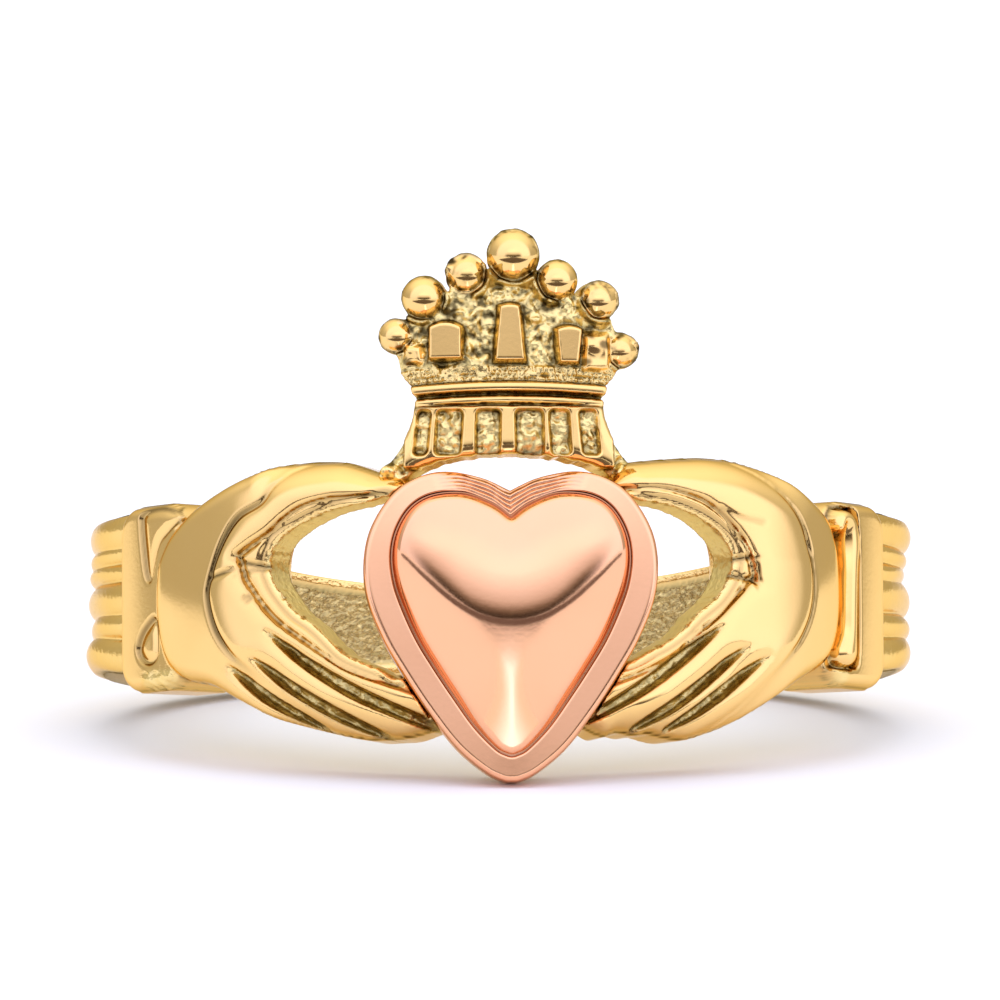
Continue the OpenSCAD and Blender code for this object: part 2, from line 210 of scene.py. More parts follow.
LEFT = {
    # Outline: top from the cuff to the crown, then the bottom back to the cuff.
    "outline": [
        (9.42, 0.30), (9.22, 0.72), (8.90, 1.10), (8.42, 1.45), (7.84, 1.78), (6.73, 2.25),
        (5.78, 2.52), (4.97, 2.63), (4.11, 2.61), (3.58, 2.47), (3.10, 2.30), (2.40, 2.10),
        (1.90, 1.20), (1.50, -0.60), (0.90, -2.60), (0.60, -3.75), (1.10, -3.97), (1.75, -3.88),
        (2.40, -4.05), (3.05, -4.08), (3.58, -4.07), (4.62, -3.85), (5.78, -3.49), (6.73, -3.05),
        (7.52, -2.67), (8.40, -2.50), (8.95, -2.20), (9.30, -1.65), (9.48, -0.70)],
    "hole": [
        (2.60, 1.52), (3.41, 1.50), (4.10, 1.38), (4.76, 1.13), (5.39, 0.77), (5.62, 0.47),
        (5.70, 0.15), (5.58, -0.27), (5.30, -0.67), (4.99, -1.01), (4.53, -1.34), (4.03, -1.83),
        (3.72, -2.08), (3.04, -2.38), (2.40, -2.55), (2.10, -0.50)],
    "crease": [
        (4.20, 2.78), (4.70, 2.60), (5.20, 2.38), (5.55, 2.02), (5.80, 1.64), (6.40, 1.31),
        (6.83, 0.73), (7.15, -0.05), (7.24, -0.60), (7.02, -1.35), (6.60, -1.95), (6.15, -2.35)],
    "thumb_edge": [
        (6.45, 0.40), (6.10, 0.62), (5.70, 0.86), (5.25, 1.22), (4.77, 1.50), (4.03, 1.68),
        (3.08, 1.72), (2.40, 1.74), (1.40, 1.70)],
    "index_edge": [
        (6.25, -0.20), (6.07, -0.46), (5.70, -0.95), (5.30, -1.33), (4.77, -1.72), (4.30, -2.06),
        (3.84, -2.38), (3.30, -2.62), (2.60, -2.86), (1.80, -3.14), (1.10, -3.34)],
    # Grooves between the fingers: U, V and half width.
    "grooves": [
        [(5.65, -1.45, 0.01), (5.20, -1.84, 0.07), (4.60, -2.31, 0.11), (3.58, -2.96, 0.14),
         (2.60, -3.45, 0.13), (1.70, -3.84, 0.10)],
        [(6.02, -2.08, 0.01), (5.60, -2.42, 0.08), (5.07, -2.83, 0.12), (4.07, -3.46, 0.13),
         (3.35, -3.84, 0.09), (2.95, -4.02, 0.05)],
        [(6.72, -2.22, 0.01), (6.30, -2.60, 0.09), (5.81, -3.00, 0.12), (5.10, -3.46, 0.10),
         (4.50, -3.80, 0.05)]],
    # Small creases: U, V and depth.
    "lines": [
        [(7.12, -0.10, 0.10), (6.80, -0.02, 0.12), (6.50, 0.06, 0.08)],
        [(6.60, 0.34, 0.02), (6.20, 0.20, 0.14), (5.72, 0.10, 0.22)],
        [(6.45, -0.10, 0.02), (6.15, 0.02, 0.06), (5.80, 0.02, 0.10)],
        [(6.20, -0.66, 0.06), (6.12, -0.58, 0.08), (6.04, -0.66, 0.08), (6.12, -0.74, 0.06)]],
    # How deep the crease is, how strong the groove and painted shade along its line, and how much this hand
    # sits above its curves.
    "crease_depth": 0.08,
    "crease_groove_and_shade": 1.0,
    "lift": 0.14,
    # Where the cuff ends, how the wrist falls toward it and where it is rough below.
    "cuff_end": 11.15,
    "wrist_fall": 0.15,
    "rough_to": 10.1,
    "dent_depth": 0.13,
    "dent_pillow": 0.09,
    # Dents in the cuff: a triangle near the top, a pear near the bottom.
    "dents": [
        [(10.06, 1.78), (9.60, 1.90), (9.00, 1.87), (8.55, 1.62), (9.00, 1.26), (9.32, 1.02),
         (9.50, 0.60), (9.62, 0.20), (9.76, 0.12), (9.90, 0.36), (10.02, 0.95), (10.09, 1.50)],
        [(9.50, -0.75), (9.86, -0.92), (10.14, -1.20), (10.24, -1.52), (10.04, -1.80),
         (9.70, -1.88), (9.42, -1.70), (9.38, -1.20)]],
}
RIGHT = {
    "outline": [
        (8.80, 0.55), (8.66, 1.10), (8.36, 1.60), (7.46, 2.17), (6.70, 2.51), (5.81, 2.78),
        (5.05, 2.86), (4.31, 2.83), (3.15, 2.72), (2.70, 2.62), (2.30, 2.20), (1.90, 1.20),
        (1.50, -0.60), (1.10, -2.60), (0.90, -3.40), (1.40, -3.66), (1.82, -3.74), (2.23, -3.91),
        (2.60, -3.80), (3.03, -3.86), (3.40, -3.82), (3.78, -3.90), (4.31, -3.95), (4.91, -3.79),
        (5.59, -3.50), (6.52, -2.96), (7.36, -2.47), (8.30, -2.02), (8.68, -1.50), (8.84, -0.70)],
    "hole": [
        (2.40, 1.66), (3.04, 1.68), (3.65, 1.60), (4.25, 1.40), (4.70, 1.16), (5.05, 0.86),
        (5.26, 0.51), (5.24, 0.05), (4.89, -0.51), (4.35, -0.96), (3.93, -1.40), (3.29, -1.80),
        (2.40, -2.10), (2.00, -0.50)],
    "crease": [
        (4.20, 3.10), (5.30, 2.80), (6.10, 2.40), (6.70, 1.90), (7.10, 1.30), (7.33, 0.60),
        (7.43, -0.10), (7.36, -0.75), (7.10, -1.35), (6.60, -2.00), (5.90, -2.75), (5.20, -3.40)],
    "thumb_edge": [
        (5.78, -0.20), (5.72, 0.25), (5.54, 0.72), (5.07, 1.30), (4.70, 1.60), (4.32, 1.80),
        (3.58, 2.00), (2.92, 2.02), (2.30, 1.96), (1.40, 1.90)],
    "index_edge": [
        (5.66, -0.10), (5.30, -0.50), (4.85, -0.98), (4.35, -1.42), (3.90, -1.88), (3.40, -2.22),
        (2.60, -2.56), (1.80, -2.86), (1.10, -3.06)],
    "grooves": [
        [(4.88, -1.24, 0.01), (4.40, -1.64, 0.08), (3.80, -2.14, 0.12), (3.00, -2.74, 0.14),
         (2.30, -3.20, 0.12), (1.75, -3.52, 0.07)],
        [(5.50, -1.74, 0.01), (5.05, -2.10, 0.08), (4.40, -2.66, 0.11), (3.60, -3.28, 0.12),
         (2.95, -3.70, 0.06)],
        [(6.02, -1.96, 0.01), (5.55, -2.32, 0.08), (4.95, -2.82, 0.12), (4.30, -3.32, 0.11),
         (3.74, -3.70, 0.05)]],
    "lines": [
        [(5.85, 0.44, 0.02), (5.60, 0.42, 0.14), (5.26, 0.36, 0.20)],
        [(5.86, -0.16, 0.02), (5.60, -0.10, 0.14), (5.22, -0.02, 0.20)],
        [(5.95, 1.28, 0.04), (5.40, 1.36, 0.05), (4.90, 1.58, 0.05)],
        [(7.16, 1.16, 0.02), (7.28, 0.80, 0.14), (7.32, 0.62, 0.10)]],
    "crease_depth": 0.06,
    "crease_groove_and_shade": 0.6,
    "lift": 0.0,
    "cuff_end": 11.0,
    "wrist_fall": 0.22,
    "rough_to": 9.3,
    "dent_depth": 0.32,
    "dent_pillow": 0.0,
    # The channel between the wrist and the rim.
    "dents": [
        [(9.56, 1.66), (9.28, 1.86), (8.80, 1.88), (8.40, 1.84), (8.10, 1.50), (8.10, -1.60),
         (8.40, -2.00), (8.90, -2.08), (9.36, -2.04), (9.60, -1.80), (9.64, -0.10)]],
    # Bead in the channel: U, V and radius.
    "bead": [
        (8.78, 1.34, 0.15), (8.94, 1.58, 0.22), (9.22, 1.48, 0.31), (9.34, 1.00, 0.34),
        (9.28, 0.30, 0.30), (9.24, -0.60, 0.30), (9.22, -1.20, 0.32), (9.18, -1.60, 0.42),
        (9.16, -1.68, 0.42)],
}
HANDS = {"left": LEFT, "right": RIGHT}

# Heights over the bore.
PALM_TOP = 2.48
WRIST_TOP = 2.40
LEDGE_TOP = 2.30
CUFF_TOP = 1.92
BEAD_FOOT = 1.48
BEAD_RISE = 0.60

# How far the edges fall and over what width, how much less of both at the heel, and the grooves.
EDGE_FALL = 1.15
EDGE_WIDTH = 0.95
HEEL_FALL = 0.60
HEEL_WIDTH = 0.55
GROOVE_DEPTH = 0.32

# The cuffs' plan, and the corners that close the crease's curve around palm and fingers.
CUFF_START = 8.5
CUFF_MIDDLE = -0.25
CUFF_HALF = 2.27
CREASE_CORNERS = [(2.0, -6.0), (13.0, -6.0), (13.0, 6.0), (4.3, 6.0)]


def traced(side, key, closed=False):
    """A smooth curve of one hand, at the height that the hand sits at."""
    return raised(side, spline(HANDS[side][key], closed=closed))


def raised(side, curve):
    """A curve moved up by the hand's lift."""
    curve = curve.copy()
    curve[:, 1] += HANDS[side]["lift"]
    return curve


def hand_relief(sheet, side):
    """Height, plan (negative inside), finish, wall of the hole, underside and painted shade lines of one
    hand.
    """
    outline = sheet.blur(sheet.shape(traced(side, "outline", closed=True), 3), 0.06)
    hole = sheet.blur(sheet.shape(traced(side, "hole", closed=True), 3), 0.06)

    # Palm, thumb and fingers inside the crease, the wrist beyond it.
    beyond = -sheet.shape(np.vstack([traced(side, "crease"), CREASE_CORNERS]), 4)
    palm = PALM_TOP - 0.05 * np.maximum(np.abs(sheet.v + 0.6) - 1, 0)
    palm = palm - HANDS[side]["crease_depth"] * (1 - rounded(-beyond, 0.5))
    wrist = WRIST_TOP - HANDS[side]["wrist_fall"] * np.maximum(beyond, 0)
    top = np.where(beyond < 0, palm, wrist)

    # Edges roll over, toward the hole onto two narrow ledges.
    ledge_line = np.vstack([traced(side, "thumb_edge")[::-1], traced(side, "index_edge")])
    ledge = sheet.shape(ledge_line, 3)
    heel = ramp(beyond, 0.0, 0.6)
    roll = 1 - rounded(-outline / (1 - HEEL_WIDTH * heel), EDGE_WIDTH)
    body = top - (EDGE_FALL - HEEL_FALL * heel) * roll
    body = body - 0.12 * (1 - rounded(np.maximum(ledge, 0), 0.45))
    strip = LEDGE_TOP - 0.12 * (1 - rounded(np.maximum(-ledge, 0), 0.15)) - 0.08 * ramp(hole, 0.22, 0.16)
    strip = strip - 0.16 * (1 - rounded(hole, 0.16))
    body = np.where(ledge > 0, body, np.minimum(body, strip))
    body = sheet.blur(body.astype(np.float32), 0.035)

    # The crease and the ledges' edges, with painted shade along their lines.
    within = outline < -0.2
    body = body - 0.05 * bell(ledge, 0.06) * within
    body = body - 0.04 * bell(hole - 0.19, 0.05) * within
    share = HANDS[side]["crease_groove_and_shade"] * ramp(np.abs(sheet.v), 2.6, 1.2)
    body = body - 0.09 * bell(beyond, 0.07) * share
    shade_lines = 0.95 * bell(beyond - 0.03, 0.075) * share
    shade_lines = shade_lines + 0.55 * bell(ledge - 0.02, 0.05) * within
    shade_lines = shade_lines + 0.45 * bell(hole - 0.18, 0.05) * within
    # Small creases, with painted shade along them.
    for row in HANDS[side]["lines"]:
        d, depth = sheet.along(raised(side, spline(row)), 0.5)
        body = body - 0.4 * depth * bell(d, 0.07)
        shade_lines = np.maximum(shade_lines, np.clip(7 * depth, 0, 0.95) * bell(d, 0.055))

    # Rough grooves, with painted shade along their edges and over their rough floors.
    cast = np.zeros(body.shape, np.float32)
    for row in HANDS[side]["grooves"]:
        d, half = sheet.along(raised(side, spline(row)), 1.0)
        open_part = np.clip(half / 0.09, 0.1, 1)
        body = body - 0.14 * bell(d, half + 0.16) * open_part
        body = body - GROOVE_DEPTH * (1 - ramp(d, half * 0.55, half + 0.05)) * open_part
        cast = np.maximum(cast, (1 - ramp(d, half * 0.8, half + 0.03)) * (half > 0.02))
        shade_lines = np.maximum(shade_lines, 0.85 * bell(d - half, 0.045) * open_part)
        shade_lines = np.maximum(shade_lines, 0.30 * cast)
    wall = ramp(hole, 0.10, 0.02)
    under = 1.20 * ramp(hole, 0.9, 0.1)
    return body, np.maximum(outline, -hole), np.maximum(cast, wall), wall, under, shade_lines


def cuff_relief(sheet, side):
    """Height, plan, finish and painted shade lines of one cuff: a dented collar, with a bead on the right
    one.
    """
    hand = HANDS[side]
    end = hand["cuff_end"]
    plan = sheet.slab((CUFF_START + end) / 2, CUFF_MIDDLE, (end - CUFF_START) / 2, CUFF_HALF, 0.75)
    top = CUFF_TOP - 0.50 * (1 - rounded(-plan, 0.30))
    shade_lines = np.zeros(top.shape, np.float32)
    for dent in hand["dents"]:
        inside = sheet.shape(spline(dent, closed=True), 1)
        floor = CUFF_TOP - hand["dent_depth"] + hand["dent_pillow"] * ramp(-inside, 0, 0.3)
        share = 1 - ramp(inside, -0.07, 0.05)
        top = top * (1 - share) + floor * share
        # Painted shade along each dent's edge.
        shade_lines = np.maximum(shade_lines, 0.75 * bell(inside + 0.02, 0.055))
    if "bead" in hand:
        d, r = sheet.along(spline(hand["bead"]), 1.0)
        rise = arch(d / np.maximum(r, 0.01))
        top = np.maximum(top, np.where(d < r, BEAD_FOOT + BEAD_RISE * rise, 0))
        # Painted shade around the bead's foot.
        shade_lines = np.where(d < r, 0, np.maximum(shade_lines, 0.7 * bell(d - r, 0.05)))
    cast = 0.7 * ramp(-sheet.v, 1.95, 2.10) * ramp(hand["rough_to"] - sheet.u, 0, 0.3)
    cast = cast * ramp(sheet.u, 8.6, 8.9)
    return top, plan, cast, shade_lines


def hand_form(sheet, side):
    """Everything that the mesh of one side needs."""
    hand, plan, cast, wall, under, shade_lines = hand_relief(sheet, side)
    cuff, cuff_plan, cuff_cast, cuff_shade_lines = cuff_relief(sheet, side)
    height = np.where(plan < 0, hand, -1)
    on_cuff = (cuff_plan < 0) & (cuff > height)
    height = np.where(on_cuff, cuff, height)
    cast = np.where(on_cuff, cuff_cast, cast)
    shade_lines = np.where(on_cuff, cuff_shade_lines, shade_lines)
    plan = np.minimum(plan, cuff_plan)

    pebbles = sheet.pebbles(0.13)
    plan = plan + 0.02 * pebbles * ramp(wall, 0.0, 0.2)
    return {"height": height, "plan": plan, "cast": cast, "pebbles": pebbles, "shade_lines": shade_lines,
            "floor": under.astype(np.float32), "balls": []}


# The crown

CROWN_EDGE = [
    # The right half of the outline, from the middle of the foot round to the top.
    (0.00, 2.84), (0.60, 2.82), (1.20, 2.76), (1.80, 2.64), (2.25, 2.46), (2.50, 2.26), (2.90, 1.95),
    (3.25, 2.05), (3.12, 2.45), (2.80, 2.80), (2.52, 3.20), (2.34, 3.60), (2.26, 3.92), (2.26, 4.20),
    (2.34, 4.46), (2.56, 4.72), (2.66, 5.00), (2.70, 5.40), (2.62, 5.80), (2.40, 6.20), (2.10, 6.42),
    (1.70, 6.62), (1.20, 6.92), (0.80, 7.10), (0.40, 7.32), (0.00, 7.42)]
WINDOWS = [
    # Middle and half width.
    (-2.06, 0.17), (-1.43, 0.31), (-0.50, 0.29), (0.48, 0.33), (1.20, 0.24), (1.90, 0.21)]
TOWERS = [
    # U, foot, top, half width at the foot and at the top, and rise.
    (-1.49, 5.08, 6.04, 0.43, 0.42, 0.36),
    (0.02, 5.02, 6.46, 0.40, 0.27, 0.44),
    (1.42, 4.98, 5.94, 0.26, 0.36, 0.34)]
BALLS = [
    # U, V, W and radius.
    (-2.76, 5.72, 1.30, 0.42), (-2.06, 6.62, 1.40, 0.52), (-1.02, 7.18, 1.25, 0.50),
    (0.12, 7.62, 1.35, 0.63), (1.18, 7.02, 1.40, 0.49), (2.22, 6.56, 1.30, 0.47),
    (2.76, 5.36, 1.30, 0.42)]
MOULDINGS = [
    # V, half height, rise and roughness.
    (4.11, 0.11, 0.24, 0.0), (4.41, 0.14, 0.36, 0.0),
    (4.63, 0.06, 0.14, 0.6), (4.76, 0.06, 0.14, 0.6), (4.88, 0.06, 0.12, 0.6)]
END_LUMPS = [
    # U, V, half width and half height.
    (-2.28, 5.24, 0.30, 0.30), (2.10, 5.30, 0.40, 0.52)]
CORNER_U = 2.85
CORNER_V = 2.35
BEADS_APART = 0.13
TOWER_TILT = 0.05
CROWN_BACK = 0.60
CROWN_TOP = 1.50


def crown_form(sheet):
    """Height, plan, finish and painted shade lines of the crown's plate, with its balls."""
    u, v = sheet.u, sheet.v
    half = spline(CROWN_EDGE, 6)
    plan = sheet.shape(np.vstack([half, half[-2:0:-1] * [-1, 1]]), 1.5)
    pebbles = sheet.pebbles(0.12)
    lumps = sheet.pebbles(0.30)
    webs = sheet.pebbles(0.22)
    height = CROWN_TOP + 0.10 * lumps
    cast = np.ones(u.shape, np.float32)
    # Painted shade in the pebbles' pits and along a web of lines over the lumps.
    shade_lines = 0.90 * ramp(-pebbles, 0.30, 0.62) + 0.75 * bell(webs, 0.08) * ramp(lumps, 0.1, 0.5)

    # Rough sockets around the balls, with painted shade in places around their feet.
    for bu, bv, _, r in BALLS:
        d = np.hypot(u - bu, v - bv)
        plan = soft_min(plan, d - r * 1.02, 0.10)
        height = np.maximum(height, np.where(d < r * 1.5, CROWN_TOP - 0.26 + 0.12 * lumps, 0))
        height = height + 0.26 * bell(d - 1.14 * r, 0.07) * (0.6 + 0.6 * lumps) * (v < bv + 0.2)
        shade_lines = np.maximum(shade_lines, 0.95 * bell(d - 1.01 * r, 0.05) * ramp(lumps, -0.9, -0.3))

    # The band, with rough windows between its polished bars, painted shade in the windows' pits and along
    # their edges.
    bars = CROWN_TOP + 0.14 + 0.16 * rounded(-plan + 0.02, 0.35)
    gap = np.full(u.shape, 9.0, np.float32)
    for mid, wide in WINDOWS:
        gap = np.minimum(gap, sheet.slab(mid * (1 + 0.05 * (3.3 - v)), 3.36, wide, 0.54, 0.12))
    bars = bars - 0.20 * (1 - ramp(gap, -0.06, 0.05))
    band = (v < 3.98) & (v > 2.5) & (np.abs(u) < 2.5)
    height = np.where(band, bars, height)
    cast = np.where(band, 1 - ramp(gap, -0.05, 0.03), cast)
    window_pit_shade = 0.45 * ramp(-pebbles, 0.40, 0.75) * (gap < 0)
    shade_lines = np.where(band, window_pit_shade + 0.8 * bell(gap + 0.03, 0.04) * ramp(webs, -0.6, 0.3), shade_lines)

    # Two polished mouldings and three beaded ones, lower toward the sides, with painted shade along their
    # edges.
    sag = 0.018 * u ** 2
    for place, tall, rise, rough in MOULDINGS:
        d = np.abs(v - place + sag - 0.04)
        bump = arch(d / tall, 4)
        if rough > 0.5:
            bump = bump * (0.75 + 0.25 * np.cos(u * 2 * math.pi / BEADS_APART + place * 9))
        height = np.maximum(height, np.where(d < tall, CROWN_TOP - 0.02 + rise * bump, 0))
        cast = np.where(d < tall * 0.9, rough, cast)
        shade_lines = np.where(d < tall, 0, shade_lines)
        shade_lines = np.maximum(shade_lines, (0.9 - rough) * bell(d - tall, 0.035))

    # Polished towers with round heads, their faces tilted down a little, outlined with painted shade.
    for mid, foot, head, wide, narrow, rise in TOWERS:
        t = np.clip((v - foot) / (head - foot), 0, 1)
        side = np.abs(u - mid) - wide - (narrow - wide) * t
        d = np.maximum(side, np.maximum(foot - v, v - head + 0.8 * np.abs(u - mid) ** 2))
        face = rise + TOWER_TILT * (v - (foot + head) / 2)
        height = np.maximum(height, CROWN_TOP + face * (1 - ramp(d, -0.08, 0.04)))
        cast = np.minimum(cast, ramp(d, -0.05, 0.02))
        shade_lines = np.where(d < 0.02, 0, shade_lines)
        shade_lines = np.maximum(shade_lines, 0.95 * bell(d - 0.03, 0.045))

    # Lumps at the ends of the mouldings, with painted shade along their web lines, and the lower corners
    # that run into the thumbs.
    for mid, level, wide, high in END_LUMPS:
        d = sheet.slab(mid, level, wide, high, 0.15)
        height = np.maximum(height, CROWN_TOP + 0.22 * (1 - ramp(d, -0.2, 0.05)) + 0.06 * lumps)
        cast = np.minimum(cast, ramp(d, -0.12, 0.02))
        shade_lines = np.where(d < -0.04, 0.8 * ramp(-webs, 0.5, 0.8), shade_lines)
    corner = np.hypot(np.abs(u) - CORNER_U, v - CORNER_V)
    height = np.maximum(height, (CROWN_TOP + 0.25) * (1 - ramp(corner, 0.2, 0.85)) + 0.14 * lumps)
    floor = np.full(u.shape, CROWN_BACK, np.float32) + 0.03 * lumps
    return {"height": height, "plan": plan + 0.02 * pebbles, "cast": cast, "pebbles": 1.2 * pebbles,
            "shade_lines": shade_lines, "floor": floor, "balls": BALLS}


# The heart

HEART_HALF = [
    # From the cleft round to the tip: outline x and z, then dome edge x and z.
    (0.000, 3.256, 0.000, 2.600), (0.595, 3.537, 0.403, 2.901), (1.313, 3.693, 1.103, 3.167),
    (1.995, 3.619, 1.855, 3.123), (2.608, 3.323, 2.380, 2.827), (3.063, 2.827, 2.723, 2.279),
    (3.395, 2.161, 2.842, 1.665), (3.500, 1.406, 2.765, 0.999), (3.395, 0.592, 2.538, 0.355),
    (3.045, -0.296, 2.205, -0.370), (2.625, -1.036, 1.803, -1.036), (2.013, -1.983, 1.365, -1.702),
    (1.302, -2.901, 0.875, -2.405), (0.630, -3.463, 0.385, -2.923), (0.210, -3.670, 0.123, -3.071),
    (0.000, -3.700, 0.000, -3.101)]


def heart_loop(steps):
    """The whole heart, from the cleft all the way round."""
    half = spline(HEART_HALF, steps)
    return np.vstack([half, half[-2:0:-1] * [-1, 1, -1, 1]])


def clear_heart(field, sheet, ws):
    """Cuts a field back from the heart, which stands straight out from the flat seat."""
    flat = Sheet(-4.2, 4.2, sheet.vs[0], sheet.vs[-1] + 1.5 * sheet.step, sheet.step, 0)
    plan = flat.shape(heart_loop(8)[:, :2] - [0, HEART_DROP], 1.0)[:, :len(sheet.vs)]
    for k, w in enumerate(ws):
        x = (FINGER_R + w) * np.sin(sheet.us / FACE_R)
        out = (FINGER_R + w) * np.cos(sheet.us / FACE_R) - FACE_R
        place = np.clip((x - flat.us[0]) / sheet.step, 0, len(flat.us) - 1.001)
        left = place.astype(int)
        share = (place - left)[:, None]
        near = plan[left] * (1 - share) + plan[left + 1] * share
        prism = np.maximum(near - 0.04, -0.02 - out[:, None])
        field[:, :, k] = np.maximum(field[:, :, k], -prism)


def seat_form(sheet):
    """The flat plate behind the heart."""
    loop = heart_loop(4)
    loop = 0.5 * (loop[:, :2] + loop[:, 2:]) - [0, HEART_DROP]
    loop[:, 0] = FACE_R * np.arcsin(loop[:, 0] / FACE_R)
    plan = sheet.shape(loop, 2)
    angle = sheet.u / FACE_R
    height = FACE_R / np.cos(angle) - FINGER_R
    pebbles = sheet.pebbles(0.2)
    return {"height": height, "plan": plan, "cast": np.full(plan.shape, 0.6, np.float32),
            "pebbles": pebbles, "shade_lines": 0 * pebbles,
            "floor": np.full(plan.shape, SEAT_T / 4, np.float32) + 0.02 * pebbles, "balls": []}


# From a relief to a closed mesh

def around(angle, r, z):
    """Ring frame points at an angle from the middle of the face, a radius and a height."""
    return np.column_stack([r * np.sin(angle), -r * np.cos(angle), z])


def to_row(points):
    """Ring frame in millimetres to the row frame in metres."""
    return (turn(points) + CENTRE) / 1000


def turn(p):
    """Ring frame directions to the row frame."""
    c, s = math.cos(LEAN), math.sin(LEAN)
    return np.column_stack([p[:, 0], p[:, 1] * c + p[:, 2] * s, -p[:, 1] * s + p[:, 2] * c])


def sample(field, at, origin, step):
    """Trilinear value of a grid field at points."""
    g = np.clip((at - origin) / step, 0, np.array(field.shape[:3]) - 1.001)
    i = g.astype(int)
    f = g - i
    out = 0
    for dx in (0, 1):
        for dy in (0, 1):
            for dz in (0, 1):
                weight = abs(1 - dx - f[:, 0]) * abs(1 - dy - f[:, 1]) * abs(1 - dz - f[:, 2])
                value = field[i[:, 0] + dx, i[:, 1] + dy, i[:, 2] + dz]
                out = out + (value * weight if value.ndim == 1 else value * weight[:, None])
    return out


def without_pinches(field, step):
    """Drops lone specks and fills each spot where two sheets of the surface would meet along an edge."""
    inside = field < 0
    lone = inside.copy()
    for axis in range(3):
        lone &= ~np.roll(inside, 1, axis) & ~np.roll(inside, -1, axis)
    field[lone] = 0.1 * step
    fill = np.ones(field.shape, bool)
    while fill.any():
        inside = field < 0
        fill[:] = False
        for a, b in ((0, 1), (0, 2), (1, 2)):
            at = {}
            for da, db in ((0, 0), (0, 1), (1, 0), (1, 1)):
                part = [slice(None)] * 3
                part[a] = slice(da, field.shape[a] - 1 + da)
                part[b] = slice(db, field.shape[b] - 1 + db)
                at[da, db] = tuple(part)
            near, far = inside[at[0, 0]], inside[at[1, 1]]
            left, right = inside[at[0, 1]], inside[at[1, 0]]
            fill[at[0, 1]] |= near & far & ~left & ~right
            fill[at[0, 0]] |= left & right & ~near & ~far
        field[fill] = -0.1 * step


def surface(field, origin, step):
    """Naive surface nets: vertices and quads of the zero level of a field, negative inside."""
    inside = field < 0
    n = np.array(field.shape) - 1
    corners = [(dx, dy, dz) for dx in (0, 1) for dy in (0, 1) for dz in (0, 1)]
    count = sum(inside[dx:dx + n[0], dy:dy + n[1], dz:dz + n[2]].astype(np.int8) for dx, dy, dz in corners)
    cell = (count > 0) & (count < 8)
    at = np.argwhere(cell)
    number = np.full(cell.shape, -1, np.int64)
    number[cell] = np.arange(len(at))
    value = {c: field[at[:, 0] + c[0], at[:, 1] + c[1], at[:, 2] + c[2]] for c in corners}
    total = np.zeros((len(at), 3))
    hits = np.zeros(len(at))
    for a in corners:
        for axis in range(3):
            if a[axis]:
                continue
            b = tuple(1 if k == axis else a[k] for k in range(3))
            cross = (value[a] < 0) != (value[b] < 0)
            t = np.where(cross, value[a] / np.where(cross, value[a] - value[b], 1), 0)
            point = np.tile(np.array(a, float), (len(at), 1))
            point[:, axis] = t
            total[cross] += point[cross]
            hits += cross
    verts = origin + (at + total / hits[:, None]) * step
    quads = []
    for axis in range(3):
        b, c = (axis + 1) % 3, (axis + 2) % 3
        lo = [slice(1, -1)] * 3
        lo[axis] = slice(0, -1)
        hi = list(lo)
        hi[axis] = slice(1, None)
        first, second = inside[tuple(lo)], inside[tuple(hi)]
        edge = np.argwhere(first != second)
        out = first[tuple(edge.T)]
        edge[:, b] += 1
        edge[:, c] += 1
        corner = []
        for db, dc in ((1, 1), (0, 1), (0, 0), (1, 0)):
            k = edge.copy()
            k[:, b] -= db
            k[:, c] -= dc
            corner.append(number[tuple(k.T)])
        quad = np.column_stack(corner)
        quad[~out] = quad[~out][:, ::-1]
        quads.append(quad)
    return verts, np.vstack(quads)


def mesh_object(name, verts, faces, cast, hollow_shade, normals=None):
    """A Blender object, smooth, with two attributes: the cast finish and the painted shade of its creases
    and hollows.
    """
    mesh = bpy.data.meshes.new(name)
    mesh.from_pydata(verts.tolist(), [], faces)
    mesh.polygons.foreach_set("use_smooth", np.ones(len(mesh.polygons), bool))
    mesh.update()
    for label, values in (("cast", cast), ("hollow_shade", hollow_shade)):
        layer = mesh.attributes.new(label, "FLOAT", "POINT")
        layer.data.foreach_set("value", np.clip(np.asarray(values, np.float32).ravel(), 0, 1))
    if normals is not None:
        mesh.normals_split_custom_set_from_vertices(normals.tolist())
    obj = bpy.data.objects.new(name, mesh)
    bpy.context.scene.collection.objects.link(obj)
    return obj


def grown(height, sheet, reach):
    """Heights carried on past the edge of the plan, so that the edge stays clean."""
    for _ in range(int(reach / sheet.step)):
        wide = np.maximum.reduce([
            np.roll(height, 1, 0), np.roll(height, -1, 0), np.roll(height, 1, 1), np.roll(height, -1, 1)])
        height = np.where(height < 0, wide, height)
    return np.maximum(height, 0.3)


